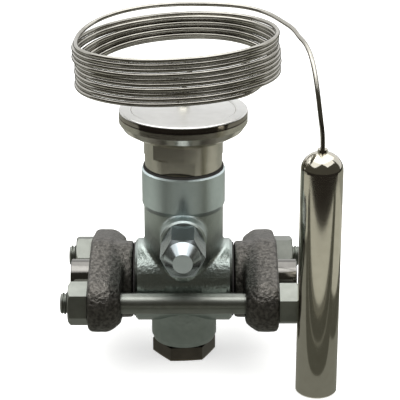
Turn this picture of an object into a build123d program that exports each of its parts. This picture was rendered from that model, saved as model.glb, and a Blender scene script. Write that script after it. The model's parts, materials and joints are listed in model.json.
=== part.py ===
from build123d import *
from math import cos, pi, radians, sin, sqrt, tan
import os

# Refrigerant expansion valve with flanged solder connections, millimetres.
# Origin: centre of the bottom plug's foot. +Z runs up the valve axis, the ports lie along X
# (inlet at -X, outlet at +X) and the setting spindle leaves the body towards -Y.

# ---- Fits ----
THREAD_FIT = 0.05           # radial play of screwed, turning and sliding fits
PRESS_FIT = 0.02            # radial play of pressed and brazed pieces
SPRING_PLAY = 0.4           # radial play round a spring
WHEEL_PLAY = 0.08           # radial play of the crown wheel in its chamber
KEY_PLAY = 0.2              # play of the spring seat's keys in their keyways

# ---- Strokes ----
SEAT_STROKE = 2.5           # spring seat, up and down from its middle setting

# ---- Bottom plug ----
PLUG_HEX = 25.0
PLUG_TURN = 5.4             # degrees that the hexagon is turned from the ports
PLUG_HEX_H = 6.5
PLUG_CHAMFER = 1.4
PLUG_FOOT_EDGE = 0.3        # flat foot's radius, less than half the hexagon
PLUG_GASKET_T = 0.8
PLUG_BELOW_CONE = 2.85
CUP_FLOOR = 3.5

# ---- Forged body ----
BOSS_R = 14.8
BOSS_LIP = 0.9
BOSS_LIP_H = 2.3
PORT_Z = 35.5
PORT_STEP = 0.95            # port barrel's radius, more than the upper barrel's
PORT_REACH = 4.1            # port face, out from the upper barrel
PORT_EDGE = 1.2
BARREL_WALL = 4.2
COLLAR_PROUD = 0.8
COLLAR_ABOVE_SPINDLE = 10.9
COLLAR_SLOPE = 2.2
COLLAR_H = 16.0
COLLAR_EDGE = 0.8
COLLAR_WALL = 2.0
SPIGOT_DEPTH = 10.0
FORGING_FILLET = 2.5
CAP_BOSS_R = 10.2
CAP_BOSS_PROUD = 6.7
CAP_BOSS_EDGE = 0.8
CAP_BOSS_FILLET = 2.2
NOSE_WALL = 1.5
NOSE_L = 9.6
PAD_BLANK = (11.0, 7.0)     # plain raised pads on the front of the port barrel
PAD_BLANK_X = 13.6
PAD_BLANK_TURNS = {-1: 19.5, 1: 15.0}      # degrees above the front, inlet side and outlet side
PAD_BLANK_PROUD = 0.1
PAD_BLANK_EDGE = 0.8

# ---- Flow passages ----
LOWER_CHAMBER_R = 10.5
WEB_DROP = 10.0             # foot of the seat's web below the port axis
WEB_T = 7.0
UPPER_CHAMBER_R = 7.0
UPPER_CHAMBER_RISE = 9.5
PASSAGE_R = 4.2
PORT_BORE_R = 7.0
PORT_BORE_DEPTH = 8.5
INLET_BEND = 6.8            # inlet drilling: its bend inside the port face
INLET_MOUTH = (9.5, 15.5)   # and where it opens: from the valve axis, below the port axis
OUTLET_RISE = 2.5

# ---- Setting chamber ----
CHAMBER_RISE = 18.5         # chamber floor above the port axis
CHAMBER_RUN = 1.3           # from the teeth to the chamber's wall
KEYWAY_DEPTH = 1.5
KEYWAY_W = 5.2
KEYWAY_BELOW = 3.5

# ---- Flanges, studs and nuts ----
FLANGE_GASKET_T = 0.7
FLANGE_GASKET_STEP = 0.8
HUB_STEP = 1.05             # hub radius, less than the port barrel's
HUB_L = 10.0
PLATE_T = 9.7
PLATE_EDGE = 1.8
LOBE_WALL = 7.2
STUD_GAP = 3.45             # from a stud to the port barrel
PLATE_MID_STEP = 1.9
LOBE_DRAFT = 36.0           # degrees
LOBE_RISE = 5.5
LOBE_SHOULDER = 1.0         # cast rounding of the plate's inner rim
LOBE_EDGE = 1.6             # cast rounding around the foot of its slope
STUD_R = 4.9
STUD_HOLE_PLAY = 0.6
STUD_PROUD = 3.4
STUD_CHAMFER = 0.9
NUT_HEX = 17.0
NUT_H = 8.4
NUT_FACE_STEP = 0.3
NUT_CHAMFER_H = 1.0
NUT_TURNS = {"front_left": 12.7, "back_left": -14.0, "front_right": 0.0, "back_right": 20.0}

# ---- Solder sockets ----
SOCKET_WALL = 1.05
SOCKET_BORE_R = 8.0
SOCKET_DEPTH = 7.5          # socket's seat, from the hub's face
SOCKET_PROUD = 8.9
SOCKET_EDGE = 0.4

# ---- Seat, cone, push rod and springs ----
SEAT_FLANGE_R = 8.5
SEAT_FLANGE_T = 2.0
SEAT_R = 6.0
ORIFICE_R = 3.0
CONE_R = 4.9
CONE_BODY_H = 2.7
CONE_PLAY = 0.05
CONE_NOSE_STEP = 0.5
SPRING_PILOT_R = 2.2
SPRING_PILOT_H = 2.6
PIN_R = 1.6
PIN_SHOULDER_RISE = 3.0
ROD_R = 2.5
FOLLOWER_OD = 9.0
FOLLOWER_WIRE = 0.9
FOLLOWER_TURNS = 6
SETTING_OD = 22.0
SETTING_WIRE = 2.4
SETTING_TURNS = 7

# ---- Setting gear: bevel pinion on the spindle, crown wheel round the spring seat ----
PINION_TEETH = 10
WHEEL_TEETH = 26
TOOTH_MODULE = 0.8
TOOTH_ADDENDUM = 0.55
TOOTH_DEDENDUM = 0.80
TOOTH_FLANK = 24.0          # degrees
TOOTH_BACKLASH = 0.26
TOOTH_ROOT_SUNK = 0.3       # how far a tooth is rooted in the rim
FACE_INSIDE = 0.8           # the teeth's face, inside and outside the pitch circle
FACE_OUTSIDE = 1.8
WHEEL_RIM_T = 3.0
WHEEL_RIM_STEP = 0.47
WHEEL_HUB_STEP = 0.3
WHEEL_HUB_DROP = 1.6
PINION_PASS = 0.16          # the spindle bore lets the pinion through by this much
PINION_COLLAR_PLAY = 0.25
BUSH_START_STEP = 0.5
BUSH_END_PLAY = 0.3
BUSH_L = 6.0
JOURNAL_R = 3.0
PACKING_L = 6.0
GLAND_THREAD_L = 5.5
GLAND_HEX_PLAY = 0.65
GLAND_PROUD = 0.8
SQUARE = 4.2
SQUARE_SUNK = 0.5
SQUARE_PROUD = 6.0
TUBE_WALL = 2.8
TUBE_STEP = 1.3
TUBE_END_PLAY = 0.3
SEAT_PLATE_STEP = 0.3
SEAT_PLATE_T = 2.4
SEAT_ABOVE_PINION = 1.06

# ---- Seal cap ----
CAP_HEX = 17.0
CAP_GASKET_T = 0.6
CAP_GASKET_STEP = 1.6
CAP_HEX_L = 17.5
CAP_CONE_L = 5.0
CAP_CONE_STEP = 0.5
CAP_TIP_R = 4.3
CAP_CORNER = 1.3
CAP_BACK_STEP = 0.4
CAP_BACK_EDGE = 0.6
CAP_THREAD_PLAY = 1.2
CAP_WELL_PLAY = 0.55
CAP_WELL_END_PLAY = 2.3

# ---- Power element ----
ELEMENT_GASKET_T = 0.9
ELEMENT_GASKET_STEP = 0.6
NECK_STEP_IN = 1.3          # neck radius, less than the collar's
NECK_H = 6.1
NECK_RING_PROUD = 0.3
NECK_RING_H = 7.0
NECK_FLAT_DEPTH = 1.7
NECK_FLATS_TURN = -8.0      # degrees from the front
RING_FLAT_DEPTH = 1.6
RING_FLAT_TURN = -23.6
DISC_R = 28.3
DIAPHRAGM_RISE = 9.9
DIAPHRAGM_T = 0.25
CAVITY_STEP = 3.8
CAVITY_DEPTH = 2.4
CAVITY_SLOPE = 5.0
ELEMENT_FLOOR_DEPTH = 4.7
ELEMENT_BORE_PLAY = 1.2
COVER_T = 2.95
COVER_EDGE = 0.8
COVER_STEP_IN = 5.1
COVER_STEP = 0.35
COVER_DOME_IN = 6.3
COVER_DOME_H = 1.1
COVER_DOME_EDGE = 1.5
PAD_LEDGE = 3.4
PAD_T = 3.0
PAD_PLAY = 0.6
PAD_HUB_DEPTH = 9.9
PAD_PILOT_L = 3.0
ROD_SOCKET_DEPTH = 4.0

# ---- Capillary tube and bulb ----
CAPILLARY_R = 1.0
FERRULE_R = 3.2
FERRULE_H = 3.6
COIL_CENTRE = (-2.8, 0.0)
COIL_OUTER_R = 45.1
COIL_INNER_R = 42.6
COIL_TOP = 150.0            # height of the top face on the coil's own axis
COIL_H = 20.5
COIL_TILT_X = 3.3           # degrees, right side up
COIL_TILT_Y = 2.4           # degrees, front up
BULB_FROM_NUT = 7.7         # bulb axis beyond the outlet nuts' ends
BULB_FROM_STUD = 13.5       # bulb axis in front of the studs
BULB_R = 9.0
BULB_SHOULDER = 103.0
BULB_DOME_H = 8.0
BULB_NIPPLE_H = 1.2
BULB_DOME_ARC = 76.0        # degrees of dome, up to the nipple round the capillary
BULB_FOOT_EDGE = 0.8

# The free stretches of the capillary: from the cover to the coil, and from the coil to the bulb.
LEAD_ROUTE = (
    (0.0, 0.0, 115.6), (0.0, 0.0, 126.6), (3.6, 6.0, 133.2), (16.5, 12.5, 135.2),
    (32.0, 5.0, 135.2), (36.6, -11.8, 134.5), (31.1, -26.4, 134.2),
)
TAIL_ROUTE = (
    (-20.5, 39.7, 147.6), (-2.0, 43.4, 151.0), (17.0, 40.5, 153.2), (34.5, 28.5, 151.6),
    (44.5, 12.0, 152.5), (49.0, -6.0, 152.3), (52.0, -18.0, 151.2), (54.4, -29.0, 146.3),
    (56.3, -36.9, 137.3), (58.3, -40.5, 125.0), (58.3, -40.5, 112.2),
)

# ---- Gear ratios and radii, from the teeth outwards ----
PINION_PITCH_R = TOOTH_MODULE * PINION_TEETH / 2
PITCH_DISTANCE = TOOTH_MODULE * WHEEL_TEETH / 2
FACE_INNER = PITCH_DISTANCE - FACE_INSIDE
FACE_OUTER = PITCH_DISTANCE + FACE_OUTSIDE
PITCH_SLOPE = PINION_PITCH_R / PITCH_DISTANCE
ROOT_SLOPE = (PINION_PITCH_R + TOOTH_DEDENDUM) / PITCH_DISTANCE
PINION_TIP_R = (PINION_PITCH_R + TOOTH_ADDENDUM) * FACE_OUTER / PITCH_DISTANCE
PINION_COLLAR_R = (PINION_PITCH_R - TOOTH_ADDENDUM) * FACE_OUTER / PITCH_DISTANCE - PINION_COLLAR_PLAY
WHEEL_HUB_R = FACE_INNER - WHEEL_HUB_STEP
TUBE_R = WHEEL_HUB_R - TUBE_STEP
TUBE_BORE_R = TUBE_R - TUBE_WALL
CHAMBER_R = FACE_OUTER + CHAMBER_RUN
KEYWAY_R = CHAMBER_R + KEYWAY_DEPTH
SEAT_PLATE_R = CHAMBER_R - SEAT_PLATE_STEP
BARREL_R = CHAMBER_R + BARREL_WALL
PORT_R = BARREL_R + PORT_STEP
COLLAR_R = BARREL_R + COLLAR_PROUD
SPIGOT_R = COLLAR_R - COLLAR_WALL
NECK_R = COLLAR_R - NECK_STEP_IN
NECK_RING_R = NECK_R + NECK_RING_PROUD
GLAND_BORE_R = PINION_TIP_R + PINION_PASS
NOSE_R = GLAND_BORE_R + NOSE_WALL

# ---- Heights on the valve axis, from the foot up ----
BOSS_FOOT = PLUG_HEX_H + PLUG_GASKET_T
WEB_FOOT = PORT_Z - WEB_DROP
WEB_TOP = WEB_FOOT + WEB_T
SEAT_FOOT = WEB_FOOT - SEAT_FLANGE_T
CONE_SHOULDER = SEAT_FOOT - (CONE_R - ORIFICE_R) - CONE_PLAY
CONE_FOOT = CONE_SHOULDER - CONE_BODY_H
CONE_TOP_R = ORIFICE_R - CONE_NOSE_STEP
CONE_TOP = CONE_SHOULDER + CONE_R - CONE_TOP_R
PLUG_TOP = CONE_FOOT - PLUG_BELOW_CONE
PIN_SHOULDER = WEB_TOP + PIN_SHOULDER_RISE
UPPER_CHAMBER_TOP = PORT_Z + UPPER_CHAMBER_RISE
CHAMBER_FLOOR = PORT_Z + CHAMBER_RISE
WHEEL_RIM_TOP = CHAMBER_FLOOR + WHEEL_RIM_T
SPINDLE_Z = WHEEL_RIM_TOP + WHEEL_RIM_STEP + ROOT_SLOPE * FACE_OUTER
WHEEL_HUB_TOP = SPINDLE_Z - WHEEL_HUB_DROP
TUBE_FOOT = CHAMBER_FLOOR + SEAT_STROKE + TUBE_END_PLAY
SEAT_PLATE_FOOT = SPINDLE_Z + PINION_TIP_R + SEAT_STROKE + SEAT_ABOVE_PINION
SEAT_PLATE_TOP = SEAT_PLATE_FOOT + SEAT_PLATE_T
KEYWAY_FOOT = SEAT_PLATE_FOOT - SEAT_STROKE - KEYWAY_BELOW
COLLAR_FOOT = SPINDLE_Z + COLLAR_ABOVE_SPINDLE
COLLAR_TOP = COLLAR_FOOT + COLLAR_H
SPIGOT_FOOT = COLLAR_TOP - SPIGOT_DEPTH
ELEMENT_SEAT = COLLAR_TOP + ELEMENT_GASKET_T
NECK_STEP = ELEMENT_SEAT + NECK_H
NECK_TOP = NECK_STEP + NECK_RING_H
DIAPHRAGM_Z = NECK_TOP + DIAPHRAGM_RISE
ELEMENT_FLOOR = DIAPHRAGM_Z - ELEMENT_FLOOR_DEPTH
COVER_FOOT = DIAPHRAGM_Z + DIAPHRAGM_T
COVER_TOP = COVER_FOOT + COVER_T
PAD_HUB_FOOT = DIAPHRAGM_Z - PAD_HUB_DEPTH
PAD_PILOT_FOOT = PAD_HUB_FOOT - PAD_PILOT_L
ROD_TOP = PAD_PILOT_FOOT + ROD_SOCKET_DEPTH

# ---- Distances along the ports, from the valve axis out ----
PORT_FACE = BARREL_R + PORT_REACH
HUB_FACE = PORT_FACE + FLANGE_GASKET_T
PLATE_INNER = HUB_FACE + HUB_L
PLATE_OUTER = PLATE_INNER + PLATE_T
NUT_END = PLATE_OUTER + NUT_H
STUD_END = NUT_END + STUD_PROUD
SOCKET_SEAT = HUB_FACE + SOCKET_DEPTH
SOCKET_END = PLATE_OUTER + SOCKET_PROUD
SOCKET_R = SOCKET_BORE_R + SOCKET_WALL
HUB_R = PORT_R - HUB_STEP
PLATE_MID_R = HUB_R + PLATE_MID_STEP
STUD_Y = PORT_R + STUD_GAP + STUD_R
STUD_HOLE_R = STUD_R + STUD_HOLE_PLAY
LOBE_R = STUD_HOLE_R + LOBE_WALL
BULB_X = NUT_END + BULB_FROM_NUT
BULB_Y = -STUD_Y - BULB_FROM_STUD
BULB_TOP = BULB_SHOULDER + BULB_DOME_H + BULB_NIPPLE_H

# ---- Distances along the spindle, from the valve axis out ----
BUSH_START = CHAMBER_R + BUSH_START_STEP
BUSH_END = BUSH_START + BUSH_L
PACKING_END = BUSH_END + PACKING_L
GLAND_THREAD_END = PACKING_END + GLAND_THREAD_L
PINION_COLLAR_END = BUSH_START - BUSH_END_PLAY
CAP_BOSS_FACE = BARREL_R + CAP_BOSS_PROUD
NOSE_END = CAP_BOSS_FACE + NOSE_L
GLAND_END = NOSE_END + GLAND_PROUD
GLAND_HEX = sqrt(3) * (GLAND_BORE_R - GLAND_HEX_PLAY)
SQUARE_START = NOSE_END - SQUARE_SUNK
SPINDLE_END = NOSE_END + SQUARE_PROUD
CAP_BACK = CAP_BOSS_FACE + CAP_GASKET_T
CAP_GASKET_R = NOSE_R + CAP_GASKET_STEP
CAP_HEX_END = CAP_BACK + CAP_HEX_L
CAP_END = CAP_HEX_END + CAP_CONE_L
CAP_CONE_R = CAP_HEX / 2 - CAP_CONE_STEP
CAP_BACK_R = CAP_HEX / 2 + CAP_BACK_STEP
CAP_THREAD_END = NOSE_END + CAP_THREAD_PLAY
CAP_WELL_R = GLAND_HEX / sqrt(3) + CAP_WELL_PLAY
CAP_WELL_END = SPINDLE_END + CAP_WELL_END_PLAY

# ---- Radii of the power element ----
PAD_HUB_R = SETTING_OD / 2 + SPRING_PLAY
PAD_PILOT_R = SETTING_OD / 2 - SETTING_WIRE - PAD_PLAY
ELEMENT_BORE_R = PAD_HUB_R + ELEMENT_BORE_PLAY
PAD_R = ELEMENT_BORE_R + PAD_LEDGE
CAVITY_R = DISC_R - CAVITY_STEP
COVER_STEP_R = DISC_R - COVER_STEP_IN
COVER_DOME_R = DISC_R - COVER_DOME_IN
FLARE = (
    (NECK_TOP + 0.9, NECK_RING_R + 2.1), (NECK_TOP + 1.5, NECK_RING_R + 3.8),
    (NECK_TOP + 4.5, DISC_R - 2.0), (NECK_TOP + 7.5, DISC_R),
)
ELEMENT_GASKET_R = COLLAR_R - ELEMENT_GASKET_STEP
FOLLOWER_R = (FOLLOWER_OD - FOLLOWER_WIRE) / 2
SETTING_R = (SETTING_OD - SETTING_WIRE) / 2

# Lines that pieces are turned about: local x runs along the line, local y is the radius.
VALVE_LINE = Plane((0, 0, 0), x_dir=(0, 0, 1), z_dir=(0, 1, 0))
PORT_LINE = Plane((0, 0, PORT_Z), x_dir=(1, 0, 0), z_dir=(0, -1, 0))
SPINDLE_LINE = Plane((0, 0, SPINDLE_Z), x_dir=(0, -1, 0), z_dir=(-1, 0, 0))


def turned(line, *outline, mode=Mode.ADD):
    """Turns a closed outline of (distance along the line, radius) points about that line."""
    with BuildSketch(line) as profile:
        with BuildLine():
            Polyline(*outline, close=True)
        make_face()
    revolve(profile.sketch, axis=Axis(line.origin, line.x_dir), mode=mode)


def drilled(line, start, end, radius):
    """Cuts a round hole on a line, from one distance along it to another."""
    turned(line, (start, 0), (end, 0), (end, radius), (start, radius), mode=Mode.SUBTRACT)


def rod(line, start, end, radius):
    """Adds a plain round stretch on a line."""
    turned(line, (start, 0), (end, 0), (end, radius), (start, radius))


def ring(line, start, end, inner, outer):
    """Adds a plain ring on a line."""
    turned(line, (start, inner), (end, inner), (end, outer), (start, outer))


def across(line, distance):
    """The plane square to a line at a distance along it, facing along the line."""
    return Plane(
        line.origin + line.x_dir * distance,
        x_dir=line.z_dir,
        z_dir=line.x_dir,
    )


def hexagon(plane, flats, height, turn=0.0):
    """Adds a hexagonal prism with two flats level with the plane's x axis, turned by degrees."""
    with BuildSketch(plane) as outline:
        RegularPolygon(flats / 2, 6, major_radius=False, rotation=turn)
    extrude(outline.sketch, amount=height)


def coil_spring(foot, top, radius, wire, turns):
    """Adds a round-wire compression spring on the valve axis, ground flat at both ends."""
    pitch = (top - foot) / turns
    with BuildLine() as path:
        Helix(pitch, top - foot, radius, center=(0, 0, foot))
    with BuildSketch(Plane(path.line @ 0, z_dir=path.line % 0)) as section:
        Circle(wire / 2)
    sweep(section.sketch, path=path.line, is_frenet=True)
    turned(
        VALVE_LINE,
        (foot, 0), (top, 0), (top, radius + wire), (foot, radius + wire),
        mode=Mode.INTERSECT,
    )


def capillary(route):
    """Adds a tube of straight runs and tangent arcs, each arc as large as its runs allow."""
    points = [Vector(*point) for point in route]
    radii = []
    for before, corner, after in zip(points, points[1:], points[2:]):
        run_in = corner - before
        run_out = after - corner
        half_turn = radians(run_in.get_angle(run_out) / 2)
        radii.append(0.45 * min(run_in.length, run_out.length) / tan(half_turn))
    with BuildLine() as path:
        FilletPolyline(*points, radius=radii)
    wire = path.wire()
    with BuildSketch(Plane(wire @ 0, z_dir=wire % 0)) as section:
        Circle(CAPILLARY_R)
    tube = sweep(section.sketch, path=wire)
    print(
        "bend radii", [round(radius, 1) for radius in radii], "length", round(wire.length, 1),
        "volume over section times length", round(tube.volume / (section.sketch.area * wire.length), 4),
    )


pieces = {}

# ---- Body ----
with BuildPart() as cap_boss:
    rod(VALVE_LINE, PORT_Z, COLLAR_TOP, BARREL_R)
    turned(
        SPINDLE_LINE,
        (0, 0), (0, CAP_BOSS_R), (CAP_BOSS_FACE - CAP_BOSS_EDGE, CAP_BOSS_R),
        (CAP_BOSS_FACE, CAP_BOSS_R - CAP_BOSS_EDGE), (CAP_BOSS_FACE, NOSE_R),
        (NOSE_END - CAP_BOSS_EDGE, NOSE_R), (NOSE_END, NOSE_R - CAP_BOSS_EDGE), (NOSE_END, 0),
    )
    boss_root = cap_boss.edges().filter_by(
        lambda edge: edge.geom_type not in (GeomType.LINE, GeomType.CIRCLE)
    )
    fillet(boss_root, CAP_BOSS_FILLET)

with BuildPart() as valve_body:
    turned(
        VALVE_LINE,
        (BOSS_FOOT, 0), (BOSS_FOOT, BOSS_R - BOSS_LIP), (BOSS_FOOT + BOSS_LIP_H, BOSS_R),
        (PORT_Z, BOSS_R), (PORT_Z, 0),
    )
    turned(
        VALVE_LINE,
        (PORT_Z, 0), (PORT_Z, BARREL_R), (COLLAR_FOOT - COLLAR_SLOPE, BARREL_R),
        (COLLAR_FOOT, COLLAR_R), (COLLAR_TOP - COLLAR_EDGE, COLLAR_R),
        (COLLAR_TOP, COLLAR_R - COLLAR_EDGE), (COLLAR_TOP, 0),
    )
    turned(
        PORT_LINE,
        (-PORT_FACE, 0), (-PORT_FACE, PORT_R - PORT_EDGE), (PORT_EDGE - PORT_FACE, PORT_R),
        (PORT_FACE - PORT_EDGE, PORT_R), (PORT_FACE, PORT_R - PORT_EDGE), (PORT_FACE, 0),
    )
    barrel_root = valve_body.edges().filter_by(
        lambda edge: edge.geom_type not in (GeomType.LINE, GeomType.CIRCLE)
        and edge.center().Z > PORT_Z
    )
    fillet(barrel_root, FORGING_FILLET)
    add(cap_boss.part)
    for side, turn in PAD_BLANK_TURNS.items():
        facing = (0, -cos(radians(turn)), sin(radians(turn)))
        pad_foot = Plane((side * PAD_BLANK_X, 0, PORT_Z), x_dir=(1, 0, 0), z_dir=facing)
        with BuildSketch(pad_foot) as pad:
            RectangleRounded(*PAD_BLANK, PAD_BLANK_EDGE)
        extrude(pad.sketch, amount=PORT_R + PAD_BLANK_PROUD)
    # Valve axis: plug thread and lower chamber, seat thread, upper chamber, rod guide, setting chamber
    drilled(VALVE_LINE, BOSS_FOOT, WEB_FOOT, LOWER_CHAMBER_R)
    drilled(VALVE_LINE, WEB_FOOT, WEB_TOP, SEAT_R)
    drilled(VALVE_LINE, WEB_TOP, UPPER_CHAMBER_TOP, UPPER_CHAMBER_R)
    drilled(VALVE_LINE, UPPER_CHAMBER_TOP, CHAMBER_FLOOR, ROD_R + THREAD_FIT)
    drilled(VALVE_LINE, CHAMBER_FLOOR, SPIGOT_FOOT, CHAMBER_R)
    drilled(VALVE_LINE, SPIGOT_FOOT, COLLAR_TOP, SPIGOT_R)
    with BuildSketch(Plane.XY.offset(KEYWAY_FOOT)) as keyways:
        Circle(KEYWAY_R)
        Rectangle(2 * KEYWAY_R, KEYWAY_W, mode=Mode.INTERSECT)
    extrude(keyways.sketch, amount=SPIGOT_FOOT - KEYWAY_FOOT, mode=Mode.SUBTRACT)
    # Ports: straight bores, then a slanting drilling below the seat and a level one above it
    drilled(PORT_LINE, -PORT_FACE, PORT_BORE_DEPTH - PORT_FACE, PORT_BORE_R)
    drilled(PORT_LINE, PORT_FACE - PORT_BORE_DEPTH, PORT_FACE, PORT_BORE_R)
    inlet_start = Vector(INLET_BEND - PORT_FACE, 0, PORT_Z)
    inlet_run = Vector(-INLET_MOUTH[0], 0, PORT_Z - INLET_MOUTH[1]) - inlet_start
    inlet_line = Plane(inlet_start, x_dir=inlet_run, z_dir=(0, -1, 0))
    drilled(inlet_line, 0, inlet_run.length, PASSAGE_R)
    outlet_line = Plane((0, 0, PORT_Z + OUTLET_RISE), x_dir=(1, 0, 0), z_dir=(0, -1, 0))
    drilled(outlet_line, 0, PORT_FACE - PORT_BORE_DEPTH, PASSAGE_R)
    # Spindle bore
    drilled(SPINDLE_LINE, FACE_OUTER, NOSE_END, GLAND_BORE_R)
pieces["valve_body"] = valve_body

# ---- Bottom plug and its gasket ----
with BuildPart() as bottom_plug:
    hexagon(Plane.XY, PLUG_HEX, PLUG_HEX_H, PLUG_TURN)
    turned(
        VALVE_LINE,
        (0, 0), (0, PLUG_HEX / 2 - PLUG_FOOT_EDGE), (PLUG_CHAMFER, PLUG_HEX),
        (PLUG_HEX_H, PLUG_HEX), (PLUG_HEX_H, 0),
        mode=Mode.INTERSECT,
    )
    rod(VALVE_LINE, PLUG_HEX_H, PLUG_TOP, LOWER_CHAMBER_R - THREAD_FIT)
    drilled(VALVE_LINE, CUP_FLOOR, PLUG_TOP, FOLLOWER_OD / 2 + SPRING_PLAY)
pieces["bottom_plug"] = bottom_plug

with BuildPart() as plug_gasket:
    ring(VALVE_LINE, PLUG_HEX_H, BOSS_FOOT, LOWER_CHAMBER_R, PLUG_HEX / 2)
pieces["plug_gasket"] = plug_gasket

# ---- Flanges, gaskets and solder sockets, one set for each port ----
for side, name in ((-1, "left"), (1, "right")):
    port_line = Plane((0, 0, PORT_Z), x_dir=(side, 0, 0), z_dir=(0, -side, 0))
    inward = Plane((side * PLATE_INNER, 0, PORT_Z), x_dir=(0, 1, 0), z_dir=(-side, 0, 0))
    outward = Plane((side * PLATE_INNER, 0, PORT_Z), x_dir=(0, 1, 0), z_dir=(side, 0, 0))

    with BuildPart() as flange:
        with BuildSketch(outward) as oval:
            Circle(PLATE_MID_R)
            with Locations((STUD_Y, 0), (-STUD_Y, 0)):
                Circle(LOBE_R)
            make_hull()
        extrude(oval.sketch, amount=PLATE_T)
        with BuildSketch(inward) as oval_back:
            Circle(PLATE_MID_R)
            with Locations((STUD_Y, 0), (-STUD_Y, 0)):
                Circle(LOBE_R)
            make_hull()
        extrude(oval_back.sketch, amount=LOBE_RISE, taper=LOBE_DRAFT)
        along = Axis((0, 0, 0), (side, 0, 0))
        fillet(flange.edges().filter_by_position(along, PLATE_INNER, PLATE_INNER), LOBE_SHOULDER)
        fillet(flange.faces().sort_by(along)[0].edges(), LOBE_EDGE)
        rod(port_line, HUB_FACE, PLATE_INNER, HUB_R)
        rim = flange.faces().sort_by(along)[-1].edges()
        fillet(rim, PLATE_EDGE)
        drilled(port_line, HUB_FACE, SOCKET_SEAT, PORT_BORE_R)
        drilled(port_line, SOCKET_SEAT, PLATE_OUTER, SOCKET_R + PRESS_FIT)
        with Locations(outward):
            with Locations((STUD_Y, 0), (-STUD_Y, 0)):
                Hole(STUD_HOLE_R)
    pieces[f"flange_{name}"] = flange

    with BuildPart() as flange_gasket:
        ring(port_line, PORT_FACE, HUB_FACE, PORT_BORE_R, HUB_R - FLANGE_GASKET_STEP)
    pieces[f"flange_gasket_{name}"] = flange_gasket

    with BuildPart() as solder_socket:
        turned(
            port_line,
            (SOCKET_SEAT, SOCKET_BORE_R), (SOCKET_SEAT, SOCKET_R),
            (SOCKET_END - SOCKET_EDGE, SOCKET_R), (SOCKET_END, SOCKET_R - SOCKET_EDGE),
            (SOCKET_END, SOCKET_BORE_R),
        )
    pieces[f"solder_socket_{name}"] = solder_socket

# ---- Studs and nuts ----
for row, stud_y in (("front", -STUD_Y), ("back", STUD_Y)):
    stud_line = Plane((0, stud_y, PORT_Z), x_dir=(1, 0, 0), z_dir=(0, -1, 0))
    with BuildPart() as stud:
        turned(
            stud_line,
            (-STUD_END, 0), (-STUD_END, STUD_R - STUD_CHAMFER), (STUD_CHAMFER - STUD_END, STUD_R),
            (STUD_END - STUD_CHAMFER, STUD_R), (STUD_END, STUD_R - STUD_CHAMFER), (STUD_END, 0),
        )
    pieces[f"stud_{row}"] = stud
    for side, name in ((-1, "left"), (1, "right")):
        nut_line = Plane((0, stud_y, PORT_Z), x_dir=(side, 0, 0), z_dir=(0, -side, 0))
        seat_plane = Plane((side * PLATE_OUTER, stud_y, PORT_Z), x_dir=(0, 1, 0), z_dir=(side, 0, 0))
        with BuildPart() as nut:
            hexagon(seat_plane, NUT_HEX, NUT_H, 30 + NUT_TURNS[f"{row}_{name}"])
            turned(
                nut_line,
                (PLATE_OUTER, 0), (PLATE_OUTER, NUT_HEX), (NUT_END - NUT_CHAMFER_H, NUT_HEX / sqrt(3)),
                (NUT_END, NUT_HEX / 2 - NUT_FACE_STEP), (NUT_END, 0),
                mode=Mode.INTERSECT,
            )
            drilled(nut_line, PLATE_OUTER, NUT_END, STUD_R + THREAD_FIT)
        pieces[f"nut_{row}_{name}"] = nut

# ---- Seat, cone, push rod and follower spring ----
with BuildPart() as seat_insert:
    turned(
        VALVE_LINE,
        (SEAT_FOOT, ORIFICE_R), (SEAT_FOOT, SEAT_FLANGE_R), (WEB_FOOT, SEAT_FLANGE_R),
        (WEB_FOOT, SEAT_R - THREAD_FIT), (WEB_TOP, SEAT_R - THREAD_FIT), (WEB_TOP, ORIFICE_R),
    )
pieces["seat_insert"] = seat_insert

with BuildPart() as valve_cone:
    turned(
        VALVE_LINE,
        (CONE_FOOT - SPRING_PILOT_H, 0), (CONE_FOOT - SPRING_PILOT_H, SPRING_PILOT_R),
        (CONE_FOOT, SPRING_PILOT_R), (CONE_FOOT, CONE_R), (CONE_SHOULDER, CONE_R),
        (CONE_TOP, CONE_TOP_R), (CONE_TOP, 0),
    )
pieces["valve_cone"] = valve_cone

with BuildPart() as push_rod:
    turned(
        VALVE_LINE,
        (CONE_TOP, 0), (CONE_TOP, PIN_R), (PIN_SHOULDER, PIN_R), (PIN_SHOULDER, ROD_R),
        (ROD_TOP, ROD_R), (ROD_TOP, 0),
    )
pieces["push_rod"] = push_rod

with BuildPart() as follower_spring:
    coil_spring(CUP_FLOOR, CONE_FOOT, FOLLOWER_R, FOLLOWER_WIRE, FOLLOWER_TURNS)
pieces["follower_spring"] = follower_spring

# ---- Setting gear ----
HALF_TOOTH = (TOOTH_MODULE * pi / 2 - TOOTH_BACKLASH) / 2
TIP_HALF = HALF_TOOTH - TOOTH_ADDENDUM * tan(radians(TOOTH_FLANK))
ROOT_HALF = HALF_TOOTH + TOOTH_DEDENDUM * tan(radians(TOOTH_FLANK))


def pinion_outline(scale):
    """Corner points of the pinion's section, with a gap at the bottom, scaled about the apex."""
    root_r = PINION_PITCH_R - TOOTH_DEDENDUM
    tip_r = PINION_PITCH_R + TOOTH_ADDENDUM
    points = []
    for tooth in range(PINION_TEETH):
        middle = -90 + (tooth + 0.5) * 360 / PINION_TEETH
        for radius, half in (
            (root_r, -ROOT_HALF), (tip_r, -TIP_HALF), (tip_r, TIP_HALF), (root_r, ROOT_HALF),
        ):
            angle = radians(middle) + half / PINION_PITCH_R
            points.append((scale * radius * cos(angle), scale * radius * sin(angle)))
    return points


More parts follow.
